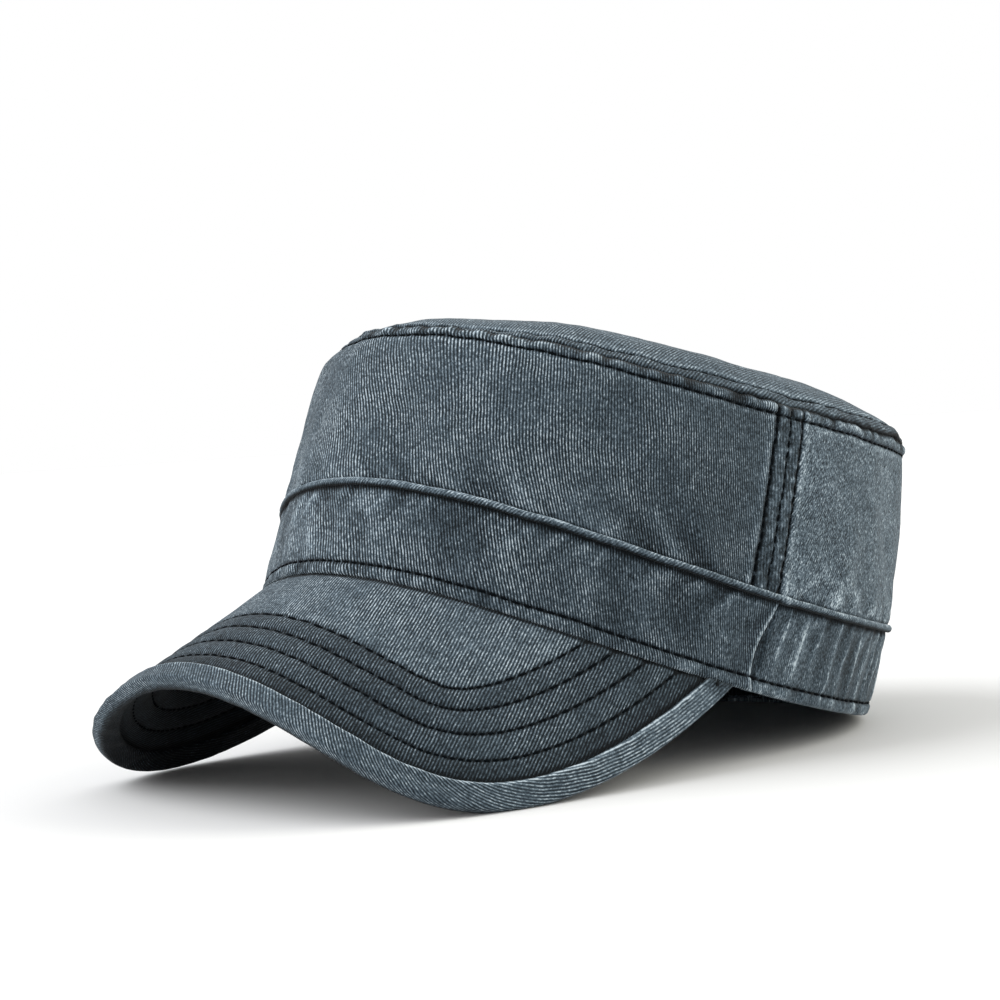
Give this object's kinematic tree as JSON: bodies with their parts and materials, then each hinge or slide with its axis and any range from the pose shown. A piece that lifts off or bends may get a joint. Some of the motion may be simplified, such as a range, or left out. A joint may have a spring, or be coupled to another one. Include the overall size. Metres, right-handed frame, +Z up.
{
  "type": "patrol cap",
  "caption": "Washed-cotton patrol cap with a low flat-topped crown, corded piping, a sewn band gathered at the back and a curved, bound peak.",
  "frame": {"origin": "on the table, under the middle of the cap's bounding box", "axes": "+Z up, -Y towards the front of the cap, where its peak is, +X towards the wearer's left"},
  "size_m": [0.1806, 0.2694, 0.1322],
  "materials": {
    "crown_cloth": "washed cotton twill, matt, slate grey",
    "band_cloth": "washed cotton twill, matt, slate grey",
    "seam_cloth": "felled cotton twill seam, matt, dark slate grey with worn edges",
    "piping_cloth": "cotton twill over cord, matt, worn pale along its top",
    "peak_cloth": "washed cotton twill, matt, slate grey",
    "peak_under_cloth": "washed cotton twill, matt, dark slate grey",
    "binding_cloth": "washed cotton twill binding, matt, worn pale at its folds"
  },
  "bodies": {
    "root": {"crown_top": "crown_cloth", "crown_front": "crown_cloth", "crown_back": "crown_cloth", "side_seam_left": "seam_cloth", "side_seam_right": "seam_cloth", "piping": "piping_cloth", "band_front": "band_cloth", "band_back": "band_cloth", "peak_top": "peak_cloth", "peak_under": "peak_under_cloth", "peak_binding": "binding_cloth"}
  },
  "joints": []
}
